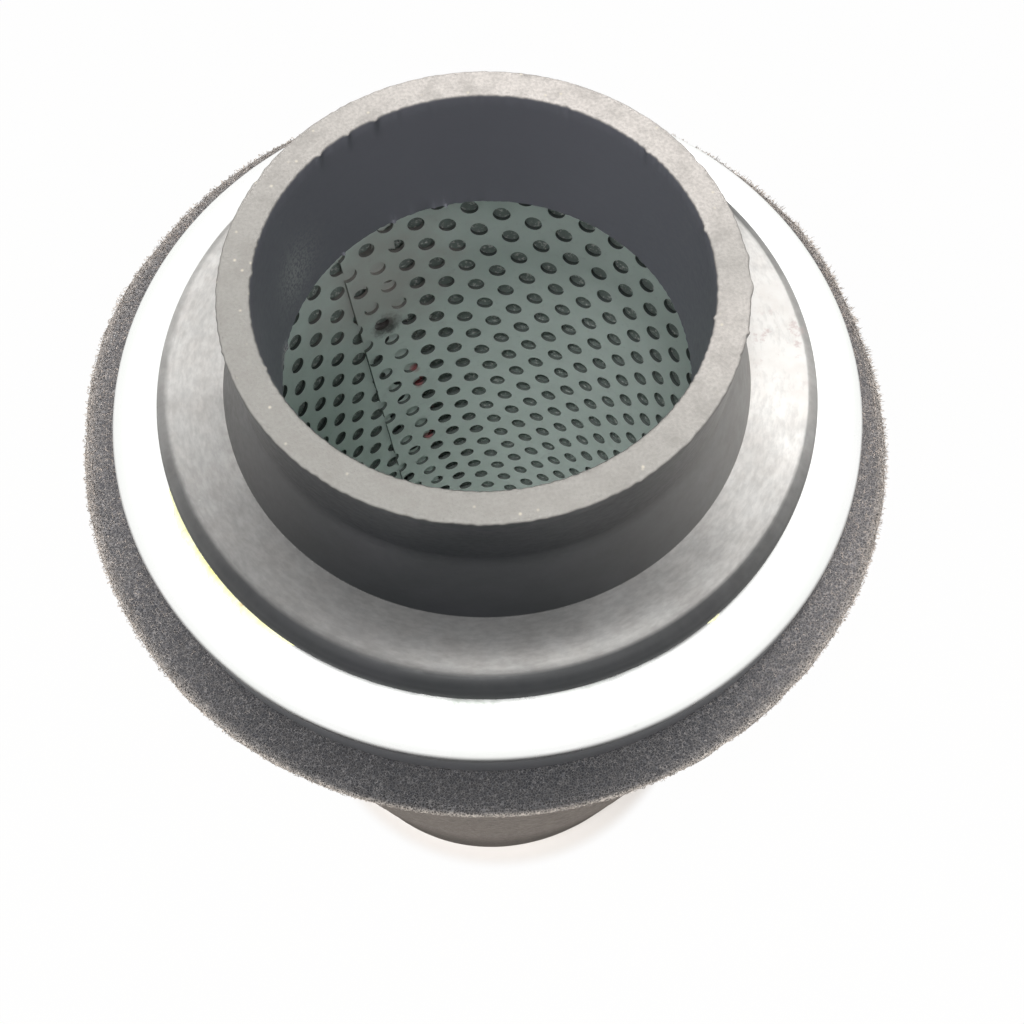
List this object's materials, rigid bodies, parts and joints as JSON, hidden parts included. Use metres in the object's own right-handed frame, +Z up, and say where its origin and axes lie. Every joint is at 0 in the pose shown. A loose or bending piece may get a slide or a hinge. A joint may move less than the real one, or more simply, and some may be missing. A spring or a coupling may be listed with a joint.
{
  "type": "motorcycle air filter",
  "caption": "Tapered motorcycle air filter: foam sleeve over a perforated steel tube, pressed steel end caps and a flanged rubber neck.",
  "frame": {"origin": "centre of the bottom cap's underside, on the surface that the filter stands on", "axes": "+Z up along the filter's axis, towards the neck; the tube's lap seam is at 126 degrees from +X"},
  "size_m": [0.1064, 0.1064, 0.1666],
  "materials": {
    "rubber": "matt moulded rubber with pale dust",
    "adhesive": "dried contact adhesive",
    "cap_steel": "bright zinc plate",
    "sealant": "cast sealing compound",
    "tube_steel": "galvanised sheet, punched",
    "foam": "open-cell reticulated foam"
  },
  "bodies": {
    "root": {"neck_boot": "rubber", "boot_adhesive": "adhesive", "top_cap": "cap_steel", "top_potting": "sealant", "perforated_tube": "tube_steel", "foam_sleeve": "foam", "bottom_potting": "sealant", "bottom_cap": "cap_steel"}
  },
  "joints": []
}
